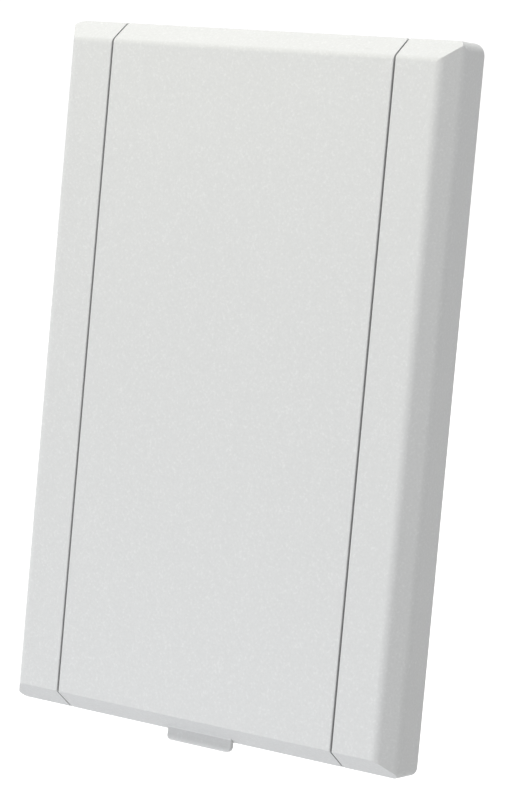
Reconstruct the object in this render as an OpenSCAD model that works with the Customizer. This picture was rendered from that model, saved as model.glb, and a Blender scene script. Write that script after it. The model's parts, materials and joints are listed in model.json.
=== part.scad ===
// Wall inlet valve of a central vacuum system: a wall plate whose middle is a
// full-height door, hinged at its top edge and lifted by a tab at its bottom.
// Behind the door are the hose port, its two control contacts and the spigot
// that goes into the pipe in the wall.
//
// Frame: +X right, +Y into the wall, +Z up. The wall's surface is the plane
// y = 0, and the axis of the hose port is the line x = 0, z = 0.

/* [Plate] */
// Width over both rails, mm
plate_w = 82.6; // [80:0.1:90]
// Height, without the finger tab, mm
plate_h = 123.8; // [122:0.1:130]
// How far the plate's face stands out from the wall, mm
plate_d = 9.4; // [9.4:0.1:10]
// Width of the sloping border down each side, seen from the front, mm
side_bevel_w = 2.85; // [2.7:0.05:3.2]
// How far the side border slopes back from the face, mm
side_bevel_d = 3.65; // [3.5:0.05:4.1]
// Height of the sloping border along the top, mm
top_bevel_h = 3.4; // [3.2:0.1:3.5]
// How far the top border slopes back from the face, mm
top_bevel_d = 4.1; // [4:0.1:4.2]
// Height of the sloping border along the bottom, mm
bottom_bevel_h = 3.2; // [3:0.1:3.4]
// How far the bottom border slopes back from the face, mm
bottom_bevel_d = 4.5; // [4.1:0.1:4.5]
// Radius of the soft ridge beside the face, down both sides, mm
side_ridge_r = 2.0; // [1:0.1:2.2]
// Radius of the soft ridge behind it, where the straight wall starts, mm
side_wall_ridge_r = 3.3; // [1:0.1:3.5]
// Radius of the ridge along the top, mm
top_ridge_r = 1.5; // [1:0.1:2.2]
// Radius of the crisp ridge along the bottom, mm
bottom_ridge_r = 0.3; // [0.2:0.1:1]
// Radius of the plate's two upper corners, mm
top_corner_r = 2.2; // [1:0.1:3]
// Radius of the plate's two lower corners, mm
bottom_corner_r = 1.6; // [1:0.1:3]
// Thickness of the moulded walls of the rails, mm
rail_wall = 1.5; // [1.4:0.1:1.7]

/* [Door] */
// Width of the door, mm
door_w = 58.9; // [58.5:0.1:58.9]
// Gap between the door and each rail, mm
seam = 0.35; // [0.3:0.05:0.5]
// Thickness of the door's panel, mm
door_panel = 1.8; // [1.6:0.1:1.9]
// Thickness of the door's border and side flanges, mm
door_wall = 1.4; // [1.2:0.1:1.4]
// Width of the finger tab, mm
tab_w = 13.7; // [10:0.1:20]
// How far the finger tab hangs below the plate, mm
tab_drop = 1.7; // [1:0.1:4]
// Thickness of the finger tab, mm
tab_t = 1.1; // [0.9:0.1:1.2]

/* [Hinge] */
// Diameter of the hinge pins, mm
pin_d = 1.5; // [1.4:0.1:1.5]
// Depth of the hinge axis in front of the wall, mm
hinge_d = 5.0; // [4.9:0.1:5]
// Drop of the hinge axis below the plate's top edge, mm
hinge_drop = 3.6; // [3.5:0.1:3.6]
// Wire diameter of the closing springs, mm
spring_wire = 0.4; // [0.3:0.05:0.4]
// Turns in each closing spring
spring_turns = 4; // [3:1:4]

/* [Port] */
// Bore of the hose port, mm
port_d = 38.5; // [38:0.1:39]
// Outer diameter of the spigot, mm
spigot_d = 44.4; // [44:0.1:44.8]
// How far the spigot reaches behind the wall's surface, mm
spigot_l = 30; // [26:1:40]
// Distance between the two mounting screws, mm
mount_spacing = 83.3; // [83.3:0.1:84]
// Shank diameter of the mounting screws, mm
mount_screw_d = 3.5; // [3.3:0.1:3.7]
// How far the mounting screws stand out behind the wall's surface, mm
mount_screw_out = 16; // [10:1:24]

/* [Hidden] */
$fn = 64;
bite = 0.01;                 // how far a cutting solid passes a face it opens
running_fit = 0.06;          // radial play of the door on its pins
screw_play = 0.05;           // radial play of a screw in its hole
arc_steps = 8;               // straight steps in each rounded corner of an outline

half_w = plate_w / 2;
half_h = plate_h / 2;
face_half_w = half_w - side_bevel_w;
face_top = half_h - top_bevel_h;
face_bottom = bottom_bevel_h - half_h;
// Depth of the straight wall behind the border
side_wall_d = plate_d - side_bevel_d;
top_wall_d = plate_d - top_bevel_d;
bottom_wall_d = plate_d - bottom_bevel_d;
rail_x = door_w / 2 + seam;  // inner face of each rail
top_wall_ridge_r = 1.2;
bottom_wall_ridge_r = 0.25;
door_corner_r = 0.5;         // outer corners of the door beside a seam
rail_corner_r = 0.3;         // outer corners of the rails beside a seam
seam_edge_r = 0.2;           // softened edges of the face along a seam

// Floor of the frame, behind the door
floor_t = 2.2;
floor_half_h = 52;
floor_front = -floor_t;

// Door, behind its face
door_front = -plate_d;
door_inner = door_front + door_panel;
door_back = -4.9;            // rear edge of the door's border and flanges
door_sill = -4.6;            // front edge of the frame's bottom wall
tab_front = -6.3;            // front edge of the finger tab
tab_scoop = 0.5;             // depth of the two slopes that hollow its front
rib_t = 1.0;
rib_h = 1.2;

// Hinge
hinge_y = -hinge_d;
hinge_z = half_h - hinge_drop;
pin_r = pin_d / 2;
pin_in_x = 22.9;             // inner end of each pin
pin_out_x = 33.0;            // outer end of each pin, inside the hollow rail
knuckle_r = 1.9;
knuckle_outer_x = 27.25;     // inner face of the knuckle beside the rail
knuckle_inner_x = 24.6;      // outer face of the other knuckle
cove_r = hinge_drop + 0.3;   // hollow that the door's top edge swings in
cove_front = -2.6;
floor_thin_t = hinge_d - cove_r;  // floor where the top of the door swings back

// Closing springs: a coil round each pin, one leg on the valve, one on the door
coil_r = 1.15;
coil_x = 24.95;              // middle of the wire in the first turn
coil_pitch = spring_wire + 0.04;
wire_r = spring_wire / 2;
wire_sides = 10;
turn_steps = 24;
leg_end_z = 48.6;

// Valve: a flange, and the port's tube seated on it
port_r = port_d / 2;
spigot_r = spigot_d / 2;
flange_t = 1.8;
flange_front = floor_front - flange_t;
flange_w = 55.2;
flange_h = 99;
flange_corner_r = 4;
tube_play = 0.05;            // radial play of the tube in the flange
shoulder_r = 24;             // the tube's shoulder, on the front of the flange
shoulder_t = 0.8;
collar_r = 21.5;
collar_front = -6.0;
mouth_flare = 1.1;           // the mouth widens this much, to guide the hose in
mouth_depth = 2.9;
root_r = spigot_r + 0.3;     // the spigot's root, up to its sealing length
root_end = 10;
spigot_chamfer = 0.9;
floor_hole_r = 24.6;         // round hole in the frame's floor
pocket_half_h = 7;           // opening beside it for the terminals

// Gasket on the door, and the disc that holds it
gasket_r = 24;
gasket_hole_r = 14;
gasket_t = 1.5;
gasket_back = door_inner + gasket_t;
retainer_r = 18.2;
retainer_t = 1.2;
retainer_back = gasket_back + retainer_t;
retainer_screw_ring_r = 10;
retainer_screw_r = 0.9;
retainer_boss_r = 2.6;

// Control contacts and their terminals
terminal_x = 26.7;
pad_w = 4.4;
pad_half_h = 5.5;
pad_back = 4.0;
strip_t = 0.5;
strip_half_h = 2.6;
strip_in_x = 22.7;
strip_end_y = 9.2;
contact_y = 7.0;
contact_r = 1.2;
contact_proud = 0.12;        // how far each contact stands into the bore
clamp_w = 4.4;
clamp_t = 0.8;
terminal_screw_r = 1.25;

// Screws
mount_screw_r = mount_screw_d / 2;
mount_head_r = 3.4;
mount_head_h = 2.0;
trim_screw_x = 21;
trim_screw_z = 34;
trim_screw_r = 1.1;
rail_rib_step = 20;
rail_rib_t = 1.2;

shell_white = [0.93, 0.93, 0.92];
valve_grey = [0.80, 0.81, 0.80];
rubber_black = [0.12, 0.12, 0.13];
steel = [0.72, 0.73, 0.75];
brass = [0.80, 0.66, 0.36];

// ---- Outlines -------------------------------------------------------------

function unit(v) = v / norm(v);
function turn(a) = a > 180 ? a - 360 : a < -180 ? a + 360 : a;

// The points that round corner p, between its neighbours a and b, to radius r
function round_corner(a, p, b, r) = r == 0 ? [p] :
    let (
        u = unit(a - p),
        v = unit(b - p),
        half = acos(u * v) / 2,
        centre = p + unit(u + v) * r / sin(half),
        from = p + u * r / tan(half) - centre,
        to = p + v * r / tan(half) - centre,
        start = atan2(from.y, from.x),
        sweep = turn(atan2(to.y, to.x) - start)
    )
    [for (i = [0:arc_steps])
        centre + r * [cos(start + sweep * i / arc_steps), sin(start + sweep * i / arc_steps)]];

// An outline from corners given as [x, y, radius]
function outline(corners) =
    let (n = len(corners), p = [for (c = corners) [c.x, c.y]])
    [for (i = [0:n - 1]) each
        round_corner(p[(i + n - 1) % n], p[i], p[(i + 1) % n], corners[i][2])];

function rectangle(x0, x1, y0, y1, r) =
    outline([[x0, y0, r], [x1, y0, r], [x1, y1, r], [x0, y1, r]]);

// An outline in X and Y, swept along Z
module sweep_z(points, half) {
    translate([0, 0, -half])
        linear_extrude(2 * half) polygon(points);
}

// An outline in Y and Z, swept along X
module sweep_x(points, x0, x1) {
    translate([x0, 0, 0])
        rotate([90, 0, 90])
            linear_extrude(x1 - x0) polygon(points);
}

// An outline in X and Z, swept along Y
module sweep_y(points, y0, y1) {
    translate([0, y1, 0])
        rotate([90, 0, 0])
            linear_extrude(y1 - y0) polygon(points);
}

// A cylinder along Y, from y0 to y1
module rod_y(x, z, r, y0, y1) {
    translate([x, y1, z])
        rotate([90, 0, 0])
            cylinder(r = r, h = y1 - y0);
}

// A cylinder along X, from x0 to x1
module rod_x(y, z, r, x0, x1) {
    translate([x0, y, z])
        rotate([0, 90, 0])
            cylinder(r = r, h = x1 - x0);
}

module box(x0, x1, y0, y1, z0, z1) {
    translate([x0, y0, z0])
        cube([x1 - x0, y1 - y0, z1 - z0]);
}

// A round section of radii and depths, turned about the Y axis
module turned_y(points) {
    rotate([-90, 0, 0])
        rotate_extrude($fn = 128) polygon(points);
}

module both_sides() {
    children();
    mirror([1, 0, 0]) children();
}

// ---- The plate's outer form -----------------------------------------------

// Height of the border's planes at a depth y, moved inwards by a wall of thickness t
function top_z(y, t) = face_top
    + ((y + plate_d) * top_bevel_h - t * norm([top_bevel_h, top_bevel_d])) / top_bevel_d;
function bottom_z(y, t) = face_bottom
    - ((y + plate_d) * bottom_bevel_h - t * norm([bottom_bevel_h, bottom_bevel_d]))
        / bottom_bevel_d;

side_outline = outline([
    [0, -half_h, 0], [-bottom_wall_d, -half_h, bottom_wall_ridge_r],
    [-plate_d, face_bottom, bottom_ridge_r], [-plate_d, face_top, top_ridge_r],
    [-top_wall_d, half_h, top_wall_ridge_r], [0, half_h, 0]
]);

// ---- Frame ----------------------------------------------------------------

// The right rail, before it is hollowed
module rail_solid() {
    intersection() {
        sweep_x(side_outline, rail_x - 1, half_w + 1);
        sweep_z(outline([
            [rail_x, 0, 0], [rail_x, -plate_d, seam_edge_r],
            [face_half_w, -plate_d, side_ridge_r],
            [half_w, -side_wall_d, side_wall_ridge_r], [half_w, 0, 0]
        ]), half_h + 1);
        sweep_y(outline([
            [rail_x, -half_h, rail_corner_r], [half_w, -half_h, bottom_corner_r],
            [half_w, half_h, top_corner_r], [rail_x, half_h, rail_corner_r]
        ]), -plate_d - 1, 0);
    }
}

// Plan of the hollow in the right rail, inside walls of thickness t, back to depth y
function hollow_plan(t, y) = [
    [rail_x + t, y], [rail_x + t, t - plate_d], [face_half_w - t / 2, t - plate_d],
    [half_w - t, t / 2 - side_wall_d], [half_w - t, y]
];

module rail_hollow() {
    front = rail_wall - plate_d;
    intersection() {
        sweep_z(hollow_plan(rail_wall, bite), half_h);
        sweep_x([
            [bite, rail_wall - half_h], [-bottom_wall_d, rail_wall - half_h],
            [front, bottom_z(front, rail_wall)], [front, top_z(front, rail_wall)],
            [-top_wall_d, half_h - rail_wall], [bite, half_h - rail_wall]
        ], rail_x, half_w);
    }
}

// Ribs across the hollow, set back from the wall
module rail_ribs() {
    for (z = [-2 * rail_rib_step:rail_rib_step:2 * rail_rib_step])
        translate([0, 0, z])
            sweep_z(hollow_plan(rail_wall * 0.8, -1.6), rail_rib_t / 2);
}

module rail() {
    difference() {
        union() {
            difference() {
                rail_solid();
                rail_hollow();
            }
            rail_ribs();
            // Boss that the hinge pin is pressed into
            rod_x(hinge_y, hinge_z, knuckle_r, rail_x + rail_wall / 2, pin_out_x);
        }
        rod_x(hinge_y, hinge_z, pin_r, rail_x - 1, pin_out_x + 1);
    }
}

// The floor between the rails, with the holes for the valve and its screws
module frame_floor() {
    reach = rail_x + rail_wall / 2;
    difference() {
        union() {
            box(-reach, reach, -floor_thin_t, 0, -half_h + rail_wall / 2, hinge_z);
            box(-reach, reach, floor_front, 0, -floor_half_h, floor_half_h);
        }
        rod_y(0, 0, floor_hole_r, floor_front - 1, 1);
        box(-rail_x, rail_x, floor_front - 1, 1, -pocket_half_h, pocket_half_h);
        for (z = [-1, 1] * mount_spacing / 2)
            rod_y(0, z, mount_screw_r + 0.4, floor_front - 1, 1);
        for (x = [-1, 1] * trim_screw_x, z = [-1, 1] * trim_screw_z)
            rod_y(x, z, trim_screw_r + screw_play, floor_front - 1, 1);
    }
}

// The wall under the door, and the cove that its top edge swings in
module frame_cross_walls() {
    reach = rail_x + rail_wall / 2;
    box(-reach, reach, door_sill, 0, -half_h, -half_h + rail_wall);
    difference() {
        box(-reach, reach, cove_front, 0, hinge_z - 1, half_h);
        rod_x(hinge_y, hinge_z, cove_r, -reach - 1, reach + 1);
        box(-reach - 1, reach + 1, cove_front - 1, -floor_thin_t, hinge_z - 2, hinge_z);
    }
}

module trim_frame() {
    color(shell_white)
        union() {
            both_sides() rail();
            frame_floor();
            frame_cross_walls();
        }
}

// ---- Valve ------------------------------------------------------------------

module terminal_pad() {
    box(terminal_x - pad_w / 2, terminal_x + pad_w / 2,
        floor_front - 0.5, pad_back, -pad_half_h, pad_half_h);
}

// Flange, fixed to the front of the frame's floor
module valve_flange() {
    color(valve_grey)
        difference() {
            union() {
                sweep_y(rectangle(-flange_w / 2, flange_w / 2, -flange_h / 2, flange_h / 2,
                    flange_corner_r), flange_front, floor_front);
                both_sides() terminal_pad();
                // Stiffening ribs, clear of the port
                for (x = [-1, 1] * 12, z = [-1, 1] * 33)
                    box(x - 0.6, x + 0.6, flange_front - 0.8, flange_front + 0.5, z - 8, z + 8);
            }
            rod_y(0, 0, root_r + tube_play, flange_front - 1, floor_front + 1);
            for (x = [-1, 1] * terminal_x)
                rod_y(x, 0, terminal_screw_r + screw_play, -0.8, pad_back + 1);
            for (z = [-1, 1] * mount_spacing / 2)
                rod_y(0, z, mount_screw_r + 0.3, flange_front - 1, floor_front + 1);
            for (x = [-1, 1] * trim_screw_x, z = [-1, 1] * trim_screw_z)
                rod_y(x, z, trim_screw_r + 0.15, flange_front - 1, floor_front + 1);
        }
}

// Hose port and spigot in one tube, with a shoulder that seats on the flange
module port_tube() {
    color(valve_grey)
        difference() {
            turned_y([
                [port_r - 1, collar_front], [collar_r - 0.4, collar_front],
                [collar_r, collar_front + 0.4], [collar_r, flange_front - shoulder_t],
                [shoulder_r - 0.2, flange_front - shoulder_t],
                [shoulder_r, flange_front - shoulder_t + 0.2], [shoulder_r, flange_front],
                [root_r, flange_front], [root_r, root_end], [spigot_r, root_end],
                [spigot_r, spigot_l - spigot_chamfer],
                [spigot_r - spigot_chamfer, spigot_l], [port_r - 1, spigot_l]
            ]);
            // Hose bore, with a flared mouth
            rod_y(0, 0, port_r, collar_front - 1, spigot_l + 1);
            turned_y([
                [0, collar_front - 1], [port_r + mouth_flare, collar_front - 1],
                [port_r + mouth_flare, collar_front], [port_r, collar_front + mouth_depth],
                [0, collar_front + mouth_depth]
            ]);
            // Holes for the two contacts
            rod_x(contact_y, 0, contact_r + 0.15, -root_r - 1, root_r + 1);
        }
}

// Ring that seals the spigot against the wall bracket
module spigot_seal() {
    seal_out_r = floor_hole_r - 0.5;
    color(rubber_black)
        turned_y([
            [root_r, floor_front], [seal_out_r, floor_front], [seal_out_r, 1.2],
            [seal_out_r - 0.6, 1.8], [root_r, 1.8]
        ]);
}

// ---- Contacts and terminals -------------------------------------------------

// The right contact: a bent brass strip and the stud riveted to it
module contact() {
    color(brass)
        difference() {
            union() {
                box(strip_in_x, terminal_x + pad_w / 2 - 0.2, pad_back, pad_back + strip_t,
                    -strip_half_h, strip_half_h);
                box(strip_in_x, strip_in_x + strip_t, pad_back, strip_end_y,
                    -strip_half_h, strip_half_h);
                rod_x(contact_y, 0, contact_r, port_r - contact_proud, strip_in_x + strip_t + 0.4);
            }
            rod_y(terminal_x, 0, terminal_screw_r + 0.1, pad_back - 1, pad_back + strip_t + 1);
        }
}

module contact_right() { contact(); }
module contact_left() { mirror([1, 0, 0]) contact(); }

// Square clamp plate, which holds a bared wire on the strip
module terminal_clamp() {
    clamp_back = pad_back + strip_t + clamp_t;
    color(steel)
        difference() {
            box(terminal_x - clamp_w / 2, terminal_x + clamp_w / 2,
                pad_back + strip_t, clamp_back, -clamp_w / 2, clamp_w / 2);
            rod_y(terminal_x, 0, terminal_screw_r + 0.1, pad_back, clamp_back + 1);
        }
}

module terminal_clamp_right() { terminal_clamp(); }
module terminal_clamp_left() { mirror([1, 0, 0]) terminal_clamp(); }

// ---- Screws -----------------------------------------------------------------

// A pan-head screw along +Y, with the underside of its head at y = 0. Its thread
// starts behind a neck, as on a screw that stays captive in its hole.
module screw(shank_r, shank_l, head_r, head_h, neck_r, neck_l) {
    recess_w = head_r * 0.3;
    recess_l = head_r * 1.15;
    difference() {
        turned_y([
            [0, -head_h], [head_r * 0.55, -head_h], [head_r * 0.86, -head_h * 0.8],
            [head_r, -head_h * 0.4], [head_r, 0], [neck_r, 0], [neck_r, neck_l],
            [shank_r, neck_l],
            [shank_r, shank_l - shank_r * 0.6], [shank_r * 0.4, shank_l], [0, shank_l]
        ]);
        for (a = [0, 90])
            rotate([0, a, 0])
                box(-recess_l / 2, recess_l / 2, -head_h - 1, -head_h * 0.45,
                    -recess_w / 2, recess_w / 2);
    }
}

module mounting_screw(z) {
    color(steel)
        translate([0, flange_front, z])
            screw(mount_screw_r, mount_screw_out - flange_front, mount_head_r, mount_head_h,
                mount_screw_r - 0.3, -flange_front);
}

module mounting_screw_top() { mounting_screw(mount_spacing / 2); }
module mounting_screw_bottom() { mounting_screw(-mount_spacing / 2); }

module trim_screws() {
    color(steel)
        for (x = [-1, 1] * trim_screw_x, z = [-1, 1] * trim_screw_z)
            translate([x, flange_front, z])
                screw(trim_screw_r, -flange_front - 0.3, 2.2, 1.4, trim_screw_r - 0.1, flange_t);
}

// Terminal screws are driven from behind, so their heads face into the wall
module terminal_screw_right() {
    color(steel)
        translate([terminal_x, pad_back + strip_t + clamp_t, 0])
            mirror([0, 1, 0])
                screw(terminal_screw_r, 5.6, 2.1, 1.6, terminal_screw_r - 0.1, 1.3);
}

module terminal_screw_left() { mirror([1, 0, 0]) terminal_screw_right(); }

module retainer_screws() {
    color(steel)
        for (a = [90, 210, 330])
            rotate([0, a, 0])
                translate([retainer_screw_ring_r, retainer_back, 0])
                    mirror([0, 1, 0])
                        screw(retainer_screw_r, retainer_back - door_inner + 0.7, 1.9, 1.1,
                            retainer_screw_r - 0.1, retainer_t);
}

// ---- Hinge ------------------------------------------------------------------

module hinge_pin_right() {
    tip = 0.3;
    color(steel)
        translate([pin_in_x, hinge_y, hinge_z])
            rotate([0, 90, 0])
                rotate_extrude()
                    polygon([
                        [0, 0], [pin_r - tip, 0], [pin_r, tip],
                        [pin_r, pin_out_x - pin_in_x - tip],
                        [pin_r - tip, pin_out_x - pin_in_x], [0, pin_out_x - pin_in_x]
                    ]);
}

module hinge_pin_left() { mirror([1, 0, 0]) hinge_pin_right(); }

// The middle line of a spring's wire: down the back leg's end, up to the coil,
// round its turns and down the front leg to the door
function spring_path() =
    let (
        coil_steps = round((spring_turns + 0.5) * turn_steps),
        rear_leg_y = flange_front - wire_r - 0.03,
        front_leg_y = door_inner + wire_r + 0.03,
        last_x = coil_x + coil_pitch * coil_steps / turn_steps
    )
    concat(
        [[coil_x, rear_leg_y, leg_end_z], [coil_x, rear_leg_y + 0.1, leg_end_z + 2]],
        [for (i = [0:coil_steps])
            let (a = i * 360 / turn_steps)
            [coil_x + coil_pitch * i / turn_steps,
                hinge_y + coil_r * cos(a), hinge_z + coil_r * sin(a)]],
        [[last_x, front_leg_y + 0.2, leg_end_z + 2], [last_x, front_leg_y, leg_end_z]]
    );

// A round wire along a path that runs roughly square to X
module wire(path) {
    n = len(path);
    rings = [for (i = [0:n - 1])
        let (
            along = unit(path[min(i + 1, n - 1)] - path[max(i - 1, 0)]),
            side = unit(cross(along, [1, 0, 0])),
            over = cross(along, side)
        )
        for (k = [0:wire_sides - 1])
            path[i] + wire_r * (side * cos(k * 360 / wire_sides) + over * sin(k * 360 / wire_sides))];
    walls = [for (i = [0:n - 2], k = [0:wire_sides - 1])
        let (k2 = (k + 1) % wire_sides, a = i * wire_sides, b = a + wire_sides)
        [a + k, b + k, b + k2, a + k2]];
    polyhedron(rings, concat(walls,
        [[for (k = [0:wire_sides - 1]) k]],
        [[for (k = [wire_sides - 1:-1:0]) (n - 1) * wire_sides + k]]), convexity = 8);
}

module spring_right() { color(steel) wire(spring_path()); }
module spring_left() { mirror([1, 0, 0]) spring_right(); }

// ---- Door -------------------------------------------------------------------

module door_form() {
    intersection() {
        sweep_x(side_outline, -door_w / 2, door_w / 2);
        sweep_z(outline([
            [-door_w / 2, 0, 0], [-door_w / 2, -plate_d, seam_edge_r],
            [door_w / 2, -plate_d, seam_edge_r], [door_w / 2, 0, 0]
        ]), half_h + 1);
        sweep_y(rectangle(-door_w / 2, door_w / 2, -half_h, half_h, door_corner_r),
            -plate_d - 1, door_back);
    }
}

// The hollow behind the door's panel and inside its border
module door_hollow() {
    sweep_x([
        [door_inner, bottom_z(door_inner, door_wall)], [door_inner, top_z(door_inner, door_wall)],
        [door_back, top_z(door_back, door_wall)], [door_back + 1, top_z(door_back, door_wall)],
        [door_back + 1, bottom_z(door_back, door_wall)],
        [door_back, bottom_z(door_back, door_wall)]
    ], -door_w / 2 + door_wall, door_w / 2 - door_wall);
}

module door_ribs() {
    rib_back = door_inner + rib_h;
    for (z = [-50, -34, 34, 50])
        box(-23, 23, door_inner - 0.5, rib_back, z - rib_t / 2, z + rib_t / 2);
    for (x = [-14, 14], z = [-1, 1] * 41.5)
        box(x - rib_t / 2, x + rib_t / 2, door_inner - 0.5, rib_back, z - 15, z + 15);
}

// One knuckle of the right half of the hinge, tied to the panel by a web
module knuckle(x0, x1) {
    rod_x(hinge_y, hinge_z, knuckle_r, x0, x1);
    box(x0, x1, door_inner - 0.5, hinge_y, hinge_z - knuckle_r, hinge_z + knuckle_r - 0.6);
}

// The tab hangs from the sloping border, a little in front of its outer edge, and
// its front is scooped so that a fingertip holds
module finger_tab() {
    top = -half_h + 1.6;
    low = -half_h - tab_drop;
    intersection() {
        sweep_y(outline([
            [-tab_w / 2, top, 0], [-tab_w / 2, low, 1.0], [tab_w / 2, low, 1.0], [tab_w / 2, top, 0]
        ]), tab_front - 1, tab_front + tab_t + 1);
        sweep_x(outline([
            [tab_front, top, 0], [tab_front + tab_scoop, -half_h, 4],
            [tab_front, low, 0.25], [tab_front + tab_t, low, 0.3], [tab_front + tab_t, top, 0]
        ]), -tab_w / 2 - 1, tab_w / 2 + 1);
    }
}

module door() {
    color(shell_white)
        difference() {
            union() {
                difference() {
                    door_form();
                    door_hollow();
                }
                door_ribs();
                finger_tab();
                both_sides() {
                    knuckle(knuckle_outer_x, door_w / 2 - door_wall / 2);
                    knuckle(pin_in_x, knuckle_inner_x);
                }
                // Ring that centres the gasket, and bosses for its disc
                difference() {
                    rod_y(0, 0, gasket_r + 1.3, door_inner - 0.5, door_inner + 1.0);
                    rod_y(0, 0, gasket_r + 0.1, door_inner, door_inner + 2);
                }
                for (a = [90, 210, 330])
                    rotate([0, a, 0])
                        rod_y(retainer_screw_ring_r, 0, retainer_boss_r, door_inner - 0.5,
                            gasket_back);
            }
            both_sides()
                rod_x(hinge_y, hinge_z, pin_r + running_fit, pin_in_x - 1, door_w / 2 + 1);
            for (a = [90, 210, 330])
                rotate([0, a, 0])
                    rod_y(retainer_screw_ring_r, 0, retainer_screw_r + screw_play,
                        door_inner - 0.75, gasket_back + 1);
        }
}

// ---- Gasket on the door -----------------------------------------------------

module door_gasket() {
    color(rubber_black)
        turned_y([
            [gasket_hole_r, door_inner], [gasket_r, door_inner],
            [gasket_r, gasket_back - 0.3], [gasket_r - 0.3, gasket_back],
            [gasket_hole_r, gasket_back]
        ]);
}

module gasket_retainer() {
    color(shell_white)
        difference() {
            turned_y([
                [0, gasket_back], [retainer_r, gasket_back], [retainer_r, retainer_back - 0.5],
                [retainer_r - 0.5, retainer_back], [0, retainer_back]
            ]);
            for (a = [90, 210, 330])
                rotate([0, a, 0])
                    rod_y(retainer_screw_ring_r, 0, retainer_screw_r + 0.15,
                        gasket_back - 1, retainer_back + 1);
        }
}

// ---- Assembly ---------------------------------------------------------------

trim_frame();
valve_flange();
port_tube();
spigot_seal();
contact_left();
contact_right();
terminal_clamp_left();
terminal_clamp_right();
terminal_screw_left();
terminal_screw_right();
mounting_screw_top();
mounting_screw_bottom();
trim_screws();
hinge_pin_left();
hinge_pin_right();
spring_left();
spring_right();
door();
door_gasket();
gasket_retainer();
retainer_screws();
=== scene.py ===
"""Looks of a central vacuum wall inlet valve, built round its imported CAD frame.

Everything is in metres, in the part's frame: +X right, +Y into the wall, +Z up. The object
is a white plate whose middle is a door, with the hose port, contacts and spigot behind it.
"""

import json
import math

import bpy
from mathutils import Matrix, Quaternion, Vector


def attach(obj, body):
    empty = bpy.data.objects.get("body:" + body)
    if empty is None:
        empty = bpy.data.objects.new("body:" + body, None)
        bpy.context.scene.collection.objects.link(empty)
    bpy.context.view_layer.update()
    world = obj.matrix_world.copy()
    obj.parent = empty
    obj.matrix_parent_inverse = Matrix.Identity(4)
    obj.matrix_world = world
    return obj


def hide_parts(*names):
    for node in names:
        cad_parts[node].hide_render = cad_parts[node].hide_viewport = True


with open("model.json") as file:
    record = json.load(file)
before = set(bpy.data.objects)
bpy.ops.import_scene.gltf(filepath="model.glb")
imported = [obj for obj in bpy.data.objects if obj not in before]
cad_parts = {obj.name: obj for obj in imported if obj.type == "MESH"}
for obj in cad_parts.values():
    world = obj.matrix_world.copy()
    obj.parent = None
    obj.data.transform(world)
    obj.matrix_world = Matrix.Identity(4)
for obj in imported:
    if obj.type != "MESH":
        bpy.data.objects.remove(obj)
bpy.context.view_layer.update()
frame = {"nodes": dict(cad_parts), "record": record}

MM = 0.001

# ---- Camera -----------------------------------------------------------------

CAMERA_AZIMUTH = 34.60       # degrees to the object's right
CAMERA_ELEVATION = 4.32      # degrees above the level
CAMERA_DISTANCE = 499.5 * MM
CAMERA_ROLL = 5.11           # degrees, turned anticlockwise
CAMERA_AIM = (7.3 * MM, -9.4 * MM, -1.5 * MM)
CAMERA_LENS = 130.9          # mm, on a 36 mm sensor


def make_camera():
    """A long lens to the right of the plate, almost level with it and slightly rolled."""
    azimuth, elevation = math.radians(CAMERA_AZIMUTH), math.radians(CAMERA_ELEVATION)
    back = Vector((
        math.sin(azimuth) * math.cos(elevation),
        -math.cos(azimuth) * math.cos(elevation),
        math.sin(elevation),
    ))
    data = bpy.data.cameras.new("camera")
    data.lens = CAMERA_LENS
    data.sensor_width = 36
    data.clip_start, data.clip_end = 0.01, 60
    camera = bpy.data.objects.new("camera", data)
    bpy.context.scene.collection.objects.link(camera)
    camera.rotation_mode = "QUATERNION"
    camera.location = Vector(CAMERA_AIM) + back * CAMERA_DISTANCE
    roll = Quaternion((0, 0, 1), math.radians(CAMERA_ROLL))
    camera.rotation_quaternion = (-back).to_track_quat("-Z", "Y") @ roll
    bpy.context.scene.camera = camera


# ---- Light and floor --------------------------------------------------------

TENT_LEVEL = 0.700           # brightness of the white tent round the object
OVERHEAD = 1.09              # how much brighter it gets overhead
OVERHEAD_FROM, OVERHEAD_TO = 0.4, 0.8
DARK_FROM, DARK_TO = 0.0, 0.85     # it goes dark from here to here on the right
FLOOR_DROP = 0.35            # the floor is this far below the origin
FLOOR_HALF = 12.0
FLOOR_PAINT = 0.62
FLOOR_GLOW = 0.6             # glow of the floor far behind the object
GLOW_FROM, GLOW_TO = 0.7, 1.3      # metres from the object's axis
BACKDROP_LEVEL = 1.1
WHITE = (1, 1, 1, 1)

# Two small soft boxes close to the plate: place, watts and colour.
LAMP_SIZE = 80 * MM
UPPER_LAMP = ((-20 * MM, -130 * MM, 170 * MM), 0.050, (1.0, 0.97, 0.72))
LOWER_LAMP = ((-20 * MM, -150 * MM, -150 * MM), 0.049, (0.86, 0.90, 1.0))


def ramp(nodes, links, value, start, stop, low, high):
    """A smooth change from low to high as value goes from start to stop."""
    node = nodes.new("ShaderNodeMapRange")
    node.interpolation_type = "SMOOTHSTEP"
    node.inputs["From Min"].default_value = start
    node.inputs["From Max"].default_value = stop
    node.inputs["To Min"].default_value = low
    node.inputs["To Max"].default_value = high
    links.new(value, node.inputs["Value"])
    return node.outputs["Result"]


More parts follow.
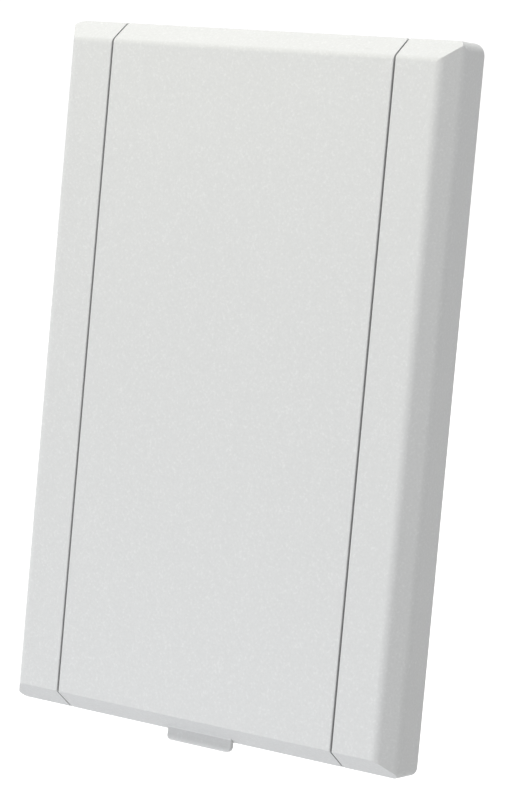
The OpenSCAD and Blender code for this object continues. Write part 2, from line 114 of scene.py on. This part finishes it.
def make_tent():
    """A white studio tent, brighter overhead and dark on the right, with a white backdrop."""
    world = bpy.data.worlds.new("tent")
    bpy.context.scene.world = world
    world.use_nodes = True
    nodes, links = world.node_tree.nodes, world.node_tree.links
    nodes.clear()
    out = nodes.new("ShaderNodeOutputWorld")
    light = nodes.new("ShaderNodeBackground")
    backdrop = nodes.new("ShaderNodeBackground")
    mix = nodes.new("ShaderNodeMixShader")
    path = nodes.new("ShaderNodeLightPath")
    where = nodes.new("ShaderNodeTexCoord")
    split = nodes.new("ShaderNodeSeparateXYZ")
    level = nodes.new("ShaderNodeMath")
    level.operation = "MULTIPLY"
    links.new(where.outputs["Generated"], split.inputs[0])
    by_height = ramp(nodes, links, split.outputs["Z"], OVERHEAD_FROM, OVERHEAD_TO,
                     TENT_LEVEL, TENT_LEVEL + OVERHEAD)
    by_side = ramp(nodes, links, split.outputs["X"], DARK_FROM, DARK_TO, 1, 0)
    links.new(by_height, level.inputs[0])
    links.new(by_side, level.inputs[1])
    links.new(level.outputs[0], light.inputs["Strength"])
    backdrop.inputs["Strength"].default_value = BACKDROP_LEVEL
    for shade in (light, backdrop):
        shade.inputs["Color"].default_value = WHITE
    links.new(path.outputs["Is Camera Ray"], mix.inputs["Fac"])
    links.new(light.outputs[0], mix.inputs[1])
    links.new(backdrop.outputs[0], mix.inputs[2])
    links.new(mix.outputs[0], out.inputs["Surface"])


def make_floor():
    """A wide pale floor, which brightens away from the object as a lit backdrop does."""
    mesh = bpy.data.meshes.new("floor")
    corners = [(-FLOOR_HALF, -FLOOR_HALF), (FLOOR_HALF, -FLOOR_HALF),
               (FLOOR_HALF, FLOOR_HALF), (-FLOOR_HALF, FLOOR_HALF)]
    mesh.from_pydata([(x, y, -FLOOR_DROP) for x, y in corners], [], [(0, 1, 2, 3)])
    floor = bpy.data.objects.new("floor", mesh)
    bpy.context.scene.collection.objects.link(floor)
    material = bpy.data.materials.new("floor_paint")
    material.use_nodes = True
    nodes, links = material.node_tree.nodes, material.node_tree.links
    shader = nodes["Principled BSDF"]
    shader.inputs["Base Color"].default_value = (FLOOR_PAINT, FLOOR_PAINT, FLOOR_PAINT, 1)
    shader.inputs["Roughness"].default_value = 0.9
    shader.inputs["Specular IOR Level"].default_value = 0.1
    shader.inputs["Emission Color"].default_value = WHITE
    where = nodes.new("ShaderNodeTexCoord")
    reach = nodes.new("ShaderNodeVectorMath")
    reach.operation = "LENGTH"
    links.new(where.outputs["Object"], reach.inputs[0])
    glow = ramp(nodes, links, reach.outputs["Value"], GLOW_FROM, GLOW_TO, 0, FLOOR_GLOW)
    links.new(glow, shader.inputs["Emission Strength"])
    mesh.materials.append(material)


def lamp(name, place, watts, colour):
    """A soft box aimed at the middle of the plate, and not seen by the camera."""
    data = bpy.data.lights.new(name, "AREA")
    data.size = LAMP_SIZE
    data.energy = watts
    data.color = colour
    box = bpy.data.objects.new(name, data)
    bpy.context.scene.collection.objects.link(box)
    box.location = place
    box.rotation_mode = "QUATERNION"
    box.rotation_quaternion = (-Vector(place)).to_track_quat("-Z", "Y")
    box.visible_camera = False


def set_display():
    """Shows the light's values as they are, with no film look."""
    view = bpy.context.scene.view_settings
    view.view_transform = "Standard"
    view.look = "None"
    view.exposure = 0
    view.gamma = 1


# ---- Materials --------------------------------------------------------------

NOISE_LOW, NOISE_HIGH = 0.3, 0.7     # where most of a noise's values lie
CREVICE_REACH = 2.0 * MM
CREVICE_SHADE_TONE = 0.78          # the colour's share left under painted shade in the deepest crevice
OPEN_FROM = 0.95             # share of the sky in view from which a surface counts as open
TAB_TOP, TAB_LIP = -61.3 * MM, -63.3 * MM     # the finger tab's upper and lower edge
TAB_HALF = 6.9 * MM
TAB_SHADE_TONE = 0.82              # the colour's share left under painted shade in the tab's hollow
TAB_BLEND = 0.1 * MM


def new_material(name, base, roughness, metallic=0.0):
    """A Principled material, with its node tree and shader at hand."""
    material = bpy.data.materials.new(name)
    material.use_nodes = True
    tree = material.node_tree
    shader = tree.nodes["Principled BSDF"]
    shader.inputs["Base Color"].default_value = (*base, 1)
    shader.inputs["Roughness"].default_value = roughness
    shader.inputs["Metallic"].default_value = metallic
    return material, tree, shader


def grain(tree, scale, detail=2.0, stretch=(1, 1, 1)):
    """Noise in the part's own frame, so that the grain is the same size on every piece."""
    where = tree.nodes.new("ShaderNodeTexCoord")
    noise = tree.nodes.new("ShaderNodeTexNoise")
    noise.inputs["Scale"].default_value = scale
    noise.inputs["Detail"].default_value = detail
    place = tree.nodes.new("ShaderNodeMapping")
    place.inputs["Scale"].default_value = stretch
    tree.links.new(where.outputs["Object"], place.inputs["Vector"])
    tree.links.new(place.outputs["Vector"], noise.inputs["Vector"])
    return noise.outputs["Fac"]


def shades(tree, shader, value, stops, crevice=None, tone=None):
    """Colours the base by value, with stops given as (value, colour).

    Crevices get painted shade where crevice gives a reach and a darkest value, and the whole
    colour is multiplied by tone, a painted shade, where one is given.
    """
    colours = tree.nodes.new("ShaderNodeValToRGB")
    elements = colours.color_ramp.elements
    while len(elements) < len(stops):
        elements.new(0.5)
    for element, (place, colour) in zip(elements, stops):
        element.position = place
        element.color = (*colour, 1)
    tree.links.new(value, colours.inputs["Fac"])
    result = colours.outputs["Color"]
    if crevice:
        result = painted_crevice_shade(tree, result, *crevice)
    if tone:
        result = multiplied(tree, result, tone)
    tree.links.new(result, shader.inputs["Base Color"])


def painted_crevice_shade(tree, colour, reach, darkest):
    """The colour with painted shade, darker where other surfaces close in within reach."""
    near = tree.nodes.new("ShaderNodeAmbientOcclusion")
    near.samples = 8
    near.inputs["Distance"].default_value = reach
    tone = ramp(tree.nodes, tree.links, near.outputs["AO"], 0, OPEN_FROM, darkest, 1)
    return multiplied(tree, colour, tone)


def multiplied(tree, colour, tone):
    """The colour times a tone from 0 to 1."""
    mix = tree.nodes.new("ShaderNodeMix")
    mix.data_type = "RGBA"
    mix.blend_type = "MULTIPLY"
    mix.inputs["Factor"].default_value = 1
    tree.links.new(colour, mix.inputs[6])
    tree.links.new(tone, mix.inputs[7])
    return mix.outputs[2]


def roughness_range(tree, shader, value, low, high):
    """Roughness that goes from low to high with a noise's value."""
    result = ramp(tree.nodes, tree.links, value, NOISE_LOW, NOISE_HIGH, low, high)
    tree.links.new(result, shader.inputs["Roughness"])


def bump(tree, shader, height, distance):
    """Bumps of the given height in metres, too fine to be worth modelling."""
    node = tree.nodes.new("ShaderNodeBump")
    node.inputs["Strength"].default_value = 1
    node.inputs["Distance"].default_value = distance
    tree.links.new(height, node.inputs["Height"])
    tree.links.new(node.outputs["Normal"], shader.inputs["Normal"])


def tint(base, factor):
    """The colour made lighter or darker by a factor."""
    return tuple(channel * factor for channel in base)


def tab_painted_shade(tree):
    """A tone that is 1 but for the finger tab's hollow, which gets painted shade."""
    nodes, links = tree.nodes, tree.links
    where = nodes.new("ShaderNodeTexCoord")
    split = nodes.new("ShaderNodeSeparateXYZ")
    links.new(where.outputs["Object"], split.inputs[0])
    aside = nodes.new("ShaderNodeMath")
    aside.operation = "ABSOLUTE"
    links.new(split.outputs["X"], aside.inputs[0])
    height = split.outputs["Z"]
    above = ramp(nodes, links, height, TAB_TOP - TAB_BLEND, TAB_TOP, TAB_SHADE_TONE, 1)
    beside = ramp(nodes, links, aside.outputs[0], TAB_HALF, TAB_HALF + TAB_BLEND, TAB_SHADE_TONE, 1)
    below = ramp(nodes, links, height, TAB_LIP - 0.3 * MM, TAB_LIP + 0.7 * MM, 1, TAB_SHADE_TONE)
    tone = above
    for other in (beside, below):
        lightest = nodes.new("ShaderNodeMath")
        lightest.operation = "MAXIMUM"
        links.new(tone, lightest.inputs[0])
        links.new(other, lightest.inputs[1])
        tone = lightest.outputs[0]
    return tone


def shell_plastic():
    """White moulding, spark-eroded to a fine grain of varying tone, whose peaks get painted
    glints.
    """
    base = (0.715, 0.723, 0.722)
    material, tree, shader = new_material("shell_plastic", base, 0.48)
    fine = grain(tree, 2300, 3.0)
    # Grain tone with a painted glint at the lightest stop, and painted shade in crevices and in
    # the finger tab's hollow.
    shades(tree, shader, fine, [
        (0.30, tint(base, 0.972)), (0.50, tint(base, 0.998)),
        (0.60, tint(base, 1.012)), (0.70, tint(base, 1.075)),
    ], (CREVICE_REACH, CREVICE_SHADE_TONE), tab_painted_shade(tree))
    roughness_range(tree, shader, grain(tree, 700), 0.44, 0.54)
    bump(tree, shader, fine, 0.035 * MM)
    return material


def body_plastic():
    """Plainer moulding of the pieces that the door hides, with faint flow marks."""
    base = (0.60, 0.61, 0.60)
    material, tree, shader = new_material("body_plastic", base, 0.35)
    flow = grain(tree, 90, 3.0, (1, 1, 0.35))
    shades(tree, shader, flow, [(0.3, tint(base, 0.96)), (0.7, tint(base, 1.03))])
    roughness_range(tree, shader, grain(tree, 500), 0.30, 0.42)
    bump(tree, shader, grain(tree, 1500), 0.010 * MM)
    return material


def seal_rubber():
    """Black cellular rubber, with a dusty bloom and fine pores."""
    base = (0.022, 0.022, 0.024)
    material, tree, shader = new_material("seal_rubber", base, 0.72)
    pores = grain(tree, 1600, 3.0)
    shades(tree, shader, grain(tree, 260, 3.0),
           [(0.35, tint(base, 0.8)), (0.65, tint(base, 1.7))])
    roughness_range(tree, shader, pores, 0.6, 0.85)
    bump(tree, shader, pores, 0.06 * MM)
    return material


def contact_brass():
    """Rolled brass strip, slightly tarnished."""
    base = (0.72, 0.52, 0.22)
    material, tree, shader = new_material("contact_brass", base, 0.3, 1.0)
    shades(tree, shader, grain(tree, 420, 3.0),
           [(0.35, tint(base, 0.78)), (0.6, base), (0.75, tint(base, 1.1))])
    rolled = grain(tree, 1500, 2.0, (1, 0.12, 1))
    roughness_range(tree, shader, rolled, 0.22, 0.42)
    bump(tree, shader, rolled, 0.006 * MM)
    return material


def zinc_plate():
    """Bright zinc plating with a faint bluish and yellowish mottle."""
    material, tree, shader = new_material("zinc_plate", (0.55, 0.56, 0.58), 0.3, 1.0)
    shades(tree, shader, grain(tree, 380, 3.0), [
        (0.32, (0.50, 0.53, 0.58)), (0.5, (0.57, 0.58, 0.59)), (0.7, (0.60, 0.58, 0.53)),
    ])
    fine = grain(tree, 2200, 2.0)
    roughness_range(tree, shader, fine, 0.24, 0.38)
    bump(tree, shader, fine, 0.008 * MM)
    return material


def steel(name, base, roughness, stretch):
    """Bare steel with marks left by grinding or drawing, finer along stretch's axes of 1."""
    material, tree, shader = new_material(name, base, roughness, 1.0)
    marks = grain(tree, 2600, 2.0, stretch)
    shades(tree, shader, marks, [(0.3, tint(base, 0.85)), (0.7, tint(base, 1.15))])
    roughness_range(tree, shader, marks, roughness - 0.06, roughness + 0.1)
    bump(tree, shader, marks, 0.006 * MM)
    return material


MATERIALS = {
    "shell": shell_plastic(),
    "body": body_plastic(),
    "seal": seal_rubber(),
    "contact": contact_brass(),
    "hardware": zinc_plate(),
    "pin": steel("ground_steel", (0.50, 0.50, 0.52), 0.25, (1, 0.1, 0.1)),
    "spring": steel("spring_steel", (0.42, 0.42, 0.44), 0.3, (0.3, 1, 1)),
}

# ---- CAD pieces -------------------------------------------------------------

WELD = 0.002 * MM
SHARP = 30                   # degrees: an edge that turns more than this stays sharp


def sharp_edges_group():
    """A node group that keeps every edge sharper than SHARP sharp, and smooths the rest."""
    group = bpy.data.node_groups.new("sharp_by_angle", "GeometryNodeTree")
    group.interface.new_socket("Geometry", in_out="INPUT", socket_type="NodeSocketGeometry")
    group.interface.new_socket("Geometry", in_out="OUTPUT", socket_type="NodeSocketGeometry")
    enter = group.nodes.new("NodeGroupInput")
    leave = group.nodes.new("NodeGroupOutput")
    angle = group.nodes.new("GeometryNodeInputMeshEdgeAngle")
    is_sharp = group.nodes.new("FunctionNodeCompare")
    is_sharp.data_type, is_sharp.operation = "FLOAT", "GREATER_THAN"
    is_sharp.inputs["B"].default_value = math.radians(SHARP)
    faces = group.nodes.new("GeometryNodeSetShadeSmooth")
    edges = group.nodes.new("GeometryNodeSetShadeSmooth")
    faces.domain, edges.domain = "FACE", "EDGE"
    faces.inputs["Shade Smooth"].default_value = True
    edges.inputs["Shade Smooth"].default_value = False
    group.links.new(enter.outputs[0], faces.inputs["Geometry"])
    group.links.new(faces.outputs[0], edges.inputs["Geometry"])
    group.links.new(angle.outputs["Unsigned Angle"], is_sharp.inputs["A"])
    group.links.new(is_sharp.outputs["Result"], edges.inputs["Selection"])
    group.links.new(edges.outputs[0], leave.inputs[0])
    return group


SHARP_EDGES = sharp_edges_group()


def smooth(piece):
    """Joins the mesh's split corners and shades its curved surfaces smooth."""
    mesh = piece.data
    if "custom_normal" in mesh.attributes:
        mesh.attributes.remove(mesh.attributes["custom_normal"])
    weld = piece.modifiers.new("weld", "WELD")
    weld.merge_threshold = WELD
    edges = piece.modifiers.new("sharp_edges", "NODES")
    edges.node_group = SHARP_EDGES
    normals = piece.modifiers.new("normals", "WEIGHTED_NORMAL")
    normals.keep_sharp = True
    normals.weight = 100
    return piece


def dress_cad_nodes():
    """Gives each CAD node the material of its slot, and smooth shading."""
    slots = {p["node"]: p["material_slot"] for p in frame["record"]["subparts"]}
    for name, piece in frame["nodes"].items():
        piece.data.materials.clear()
        piece.data.materials.append(MATERIALS[slots[name]])
        smooth(piece)


# ---- Closing springs --------------------------------------------------------
# The CAD spring is one wire at rest. Here its coil and rear leg stay with the base, and its
# front leg turns with the door, from the end of the last turn.

HINGE_Y, HINGE_Z = -5.0 * MM, 58.3 * MM
COIL_X = 24.95 * MM          # middle of the wire in the first turn
COIL_RADIUS = 1.15 * MM
COIL_PITCH = 0.44 * MM
COIL_TURNS = 4.5
WIRE_RADIUS = 0.2 * MM
LEG_END_Z = 48.6 * MM
LEG_CLEARANCE = 0.03 * MM
LEG_BEND = 2 * MM            # length of each leg's straight end
FLANGE_FRONT = -4.0 * MM     # the rear leg lies on it
DOOR_INNER = -7.6 * MM       # the front leg lies on it
TURN_STEPS = 32


def wire_piece(name, points, body, node):
    """A round wire along points, as a mesh that rides on a body in place of a CAD node."""
    curve = bpy.data.curves.new(name, "CURVE")
    curve.dimensions = "3D"
    curve.bevel_depth = WIRE_RADIUS
    curve.bevel_resolution = 4
    curve.use_fill_caps = True
    line = curve.splines.new("POLY")
    line.points.add(len(points) - 1)
    for point, place in zip(line.points, points):
        point.co = (*place, 1)
    drawn = bpy.data.objects.new(name + "_curve", curve)
    bpy.context.scene.collection.objects.link(drawn)
    graph = bpy.context.evaluated_depsgraph_get()
    mesh = bpy.data.meshes.new_from_object(drawn.evaluated_get(graph))
    bpy.data.objects.remove(drawn)
    piece = bpy.data.objects.new(name, mesh)
    bpy.context.scene.collection.objects.link(piece)
    mesh.materials.clear()
    mesh.materials.append(MATERIALS["spring"])
    mesh.shade_smooth()
    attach(piece, body)
    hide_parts(node)
    return piece


def spring(side, sign):
    """The spring on one side: sign is 1 on the right and -1 on the left."""
    steps = round(COIL_TURNS * TURN_STEPS)
    coil = []
    for i in range(steps + 1):
        angle = 2 * math.pi * i / TURN_STEPS
        coil.append((
            sign * (COIL_X + COIL_PITCH * i / TURN_STEPS),
            HINGE_Y + COIL_RADIUS * math.cos(angle),
            HINGE_Z + COIL_RADIUS * math.sin(angle),
        ))
    rear_y = FLANGE_FRONT - WIRE_RADIUS - LEG_CLEARANCE
    front_y = DOOR_INNER + WIRE_RADIUS + LEG_CLEARANCE
    bend_z = LEG_END_Z + LEG_BEND
    first_x, last_x = coil[0][0], coil[-1][0]
    rear_leg = [(first_x, rear_y, LEG_END_Z), (first_x, rear_y + 0.1 * MM, bend_z)]
    front_leg = [(last_x, front_y + 0.2 * MM, bend_z), (last_x, front_y, LEG_END_Z)]
    node = f"spring_{side}"
    wire_piece(f"spring_coil_{side}", rear_leg + coil, "base", node)
    wire_piece(f"spring_leg_{side}", coil[-1:] + front_leg, "flap", node)


# ---- Mounting screws --------------------------------------------------------

SCREW_SPACING = 83.3 * MM
HEAD_RADIUS, HEAD_HEIGHT = 3.4 * MM, 2.0 * MM
NECK_RADIUS = 1.45 * MM
THREAD_RADIUS, THREAD_ROOT = 1.75 * MM, 1.36 * MM
THREAD_PITCH = 0.8 * MM
THREAD_END = 16 * MM         # the thread runs from the wall's surface to here
THREAD_TAPER = 1.1 * MM
RIDGE_HALF_WIDTH = 0.36      # as a share of the pitch
RIDGE_STEEPNESS = 1.25       # above 1, the ridge's crest is flat
TIP_SHARE = 0.55             # the root's share that is left at the screw's tip
RINGS_PER_TURN = 10
AROUND = 40

# The head's profile, as shares of its height and its radius, from its crown to its rim.
HEAD_PROFILE = [
    (1.0, 0.30), (1.0, 0.50), (0.93, 0.70), (0.80, 0.86), (0.62, 0.95), (0.40, 1.0), (0.0, 1.0),
]

# The cross recess, as shares of the head's radius and height.
RECESS_HALF_LENGTH, RECESS_HALF_WIDTH, RECESS_DEPTH = 0.58, 0.15, 0.6
RECESS_LENGTH_TAPER, RECESS_WIDTH_TAPER = 0.45, 0.6


def ring(y, radius):
    """Points of a circle round the Y axis; radius is a number or a function of the angle."""
    points = []
    for k in range(AROUND):
        angle = 2 * math.pi * k / AROUND
        r = radius(angle) if callable(radius) else radius
        points.append((r * math.cos(angle), y, r * math.sin(angle)))
    return points


def thread_radius(y):
    """Radius of the thread at depth y, as a function of the angle: a rounded helical ridge."""
    fade_in = min(1, y / THREAD_PITCH)
    fade_out = min(1, (THREAD_END - y) / THREAD_TAPER)

    def at(angle):
        phase = (y / THREAD_PITCH - angle / (2 * math.pi)) % 1
        ridge = max(0, 1 - abs(phase - 0.5) / RIDGE_HALF_WIDTH)
        root = THREAD_ROOT * (TIP_SHARE + (1 - TIP_SHARE) * fade_out)
        height = (THREAD_RADIUS - THREAD_ROOT) * min(1, ridge * RIDGE_STEEPNESS)
        return root + height * fade_in * fade_out
    return at


def mounting_screw(name, z):
    """Pan-head screw with a cross recess, a plain neck and a cut thread."""
    head_y = FLANGE_FRONT
    steps = round(THREAD_END / THREAD_PITCH * RINGS_PER_TURN)
    rings = [ring(head_y - HEAD_HEIGHT * h, HEAD_RADIUS * r) for h, r in HEAD_PROFILE]
    rings += [ring(head_y, NECK_RADIUS), ring(0, NECK_RADIUS)]
    for i in range(steps + 1):
        y = THREAD_END * i / steps
        rings.append(ring(y, thread_radius(y)))
    mesh = bpy.data.meshes.new(name)
    points = [(x, y, z + up) for row in rings for x, y, up in row]
    faces = []
    for i in range(len(rings) - 1):
        here, beyond = i * AROUND, (i + 1) * AROUND
        for k in range(AROUND):
            turn = (k + 1) % AROUND
            faces.append((here + k, here + turn, beyond + turn, beyond + k))
    last = (len(rings) - 1) * AROUND
    faces.append(tuple(reversed(range(AROUND))))
    faces.append(tuple(last + k for k in range(AROUND)))
    mesh.from_pydata(points, [], faces)
    mesh.update()
    piece = bpy.data.objects.new(name, mesh)
    bpy.context.scene.collection.objects.link(piece)
    mesh.materials.append(MATERIALS["hardware"])
    cut_recess(piece, head_y - HEAD_HEIGHT, z)
    smooth(piece)
    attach(piece, "base")
    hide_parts(name.replace("threaded", "mounting"))
    return piece


BOX_FACES = [
    (0, 1, 2, 3), (7, 6, 5, 4), (0, 4, 5, 1), (1, 5, 6, 2), (2, 6, 7, 3), (3, 7, 4, 0),
]


def cut_recess(piece, front, z):
    """Cuts a cross recess that narrows inwards, with two crossed wedges."""
    half_l = HEAD_RADIUS * RECESS_HALF_LENGTH
    half_w = HEAD_RADIUS * RECESS_HALF_WIDTH
    ends = (
        (front - 0.1 * MM, half_l, half_w),
        (front + HEAD_HEIGHT * RECESS_DEPTH, half_l * RECESS_LENGTH_TAPER,
         half_w * RECESS_WIDTH_TAPER),
    )
    for turn in (0, math.pi / 2):
        mesh = bpy.data.meshes.new("recess")
        points = []
        for y, length, width in ends:
            for sx, sz in ((-1, -1), (1, -1), (1, 1), (-1, 1)):
                x0, z0 = sx * length, sz * width
                points.append((
                    x0 * math.cos(turn) - z0 * math.sin(turn),
                    y,
                    z + x0 * math.sin(turn) + z0 * math.cos(turn),
                ))
        mesh.from_pydata(points, [], BOX_FACES)
        cutter = bpy.data.objects.new("recess", mesh)
        bpy.context.scene.collection.objects.link(cutter)
        cut = piece.modifiers.new("recess", "BOOLEAN")
        cut.object = cutter
        cut.solver = "EXACT"
        graph = bpy.context.evaluated_depsgraph_get()
        shaped = bpy.data.meshes.new_from_object(piece.evaluated_get(graph))
        piece.modifiers.clear()
        piece.data = shaped
        bpy.data.objects.remove(cutter)


make_camera()
make_tent()
make_floor()
lamp("upper_lamp", *UPPER_LAMP)
lamp("lower_lamp", *LOWER_LAMP)
set_display()
dress_cad_nodes()
spring("right", 1)
spring("left", -1)
mounting_screw("threaded_screw_top", SCREW_SPACING / 2)
mounting_screw("threaded_screw_bottom", -SCREW_SPACING / 2)
